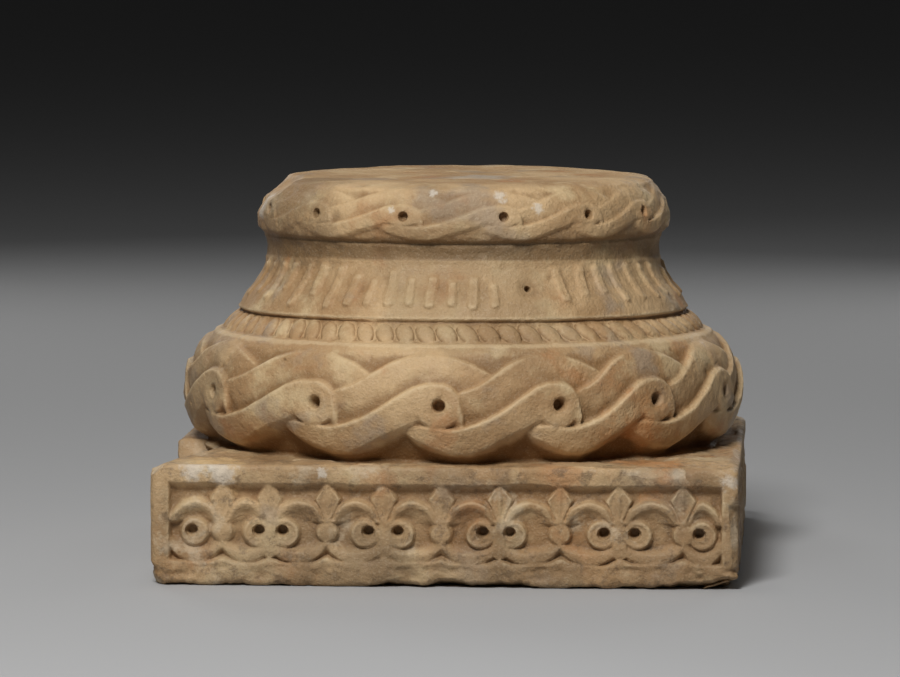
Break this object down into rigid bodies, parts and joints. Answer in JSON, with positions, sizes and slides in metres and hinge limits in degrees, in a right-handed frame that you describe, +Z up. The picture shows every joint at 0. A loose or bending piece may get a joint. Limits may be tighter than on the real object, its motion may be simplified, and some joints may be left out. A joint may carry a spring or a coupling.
{
  "type": "carved column base",
  "caption": "Square stone plinth with a carved frieze under a round torus, cable moulding, hollow neck and smaller torus; its flat top bed carries a column shaft.",
  "frame": {"origin": "centre of the underside of the plinth, on the floor", "axes": "+Z up along the axis of the column, front face towards -Y, +X to the right seen from the front"},
  "size_m": [0.42, 0.42, 0.284],
  "materials": {
    "marble": "weathered matte marble, warm beige with brown patina in the recesses"
  },
  "bodies": {
    "root": {"column_base": "marble"}
  },
  "joints": []
}
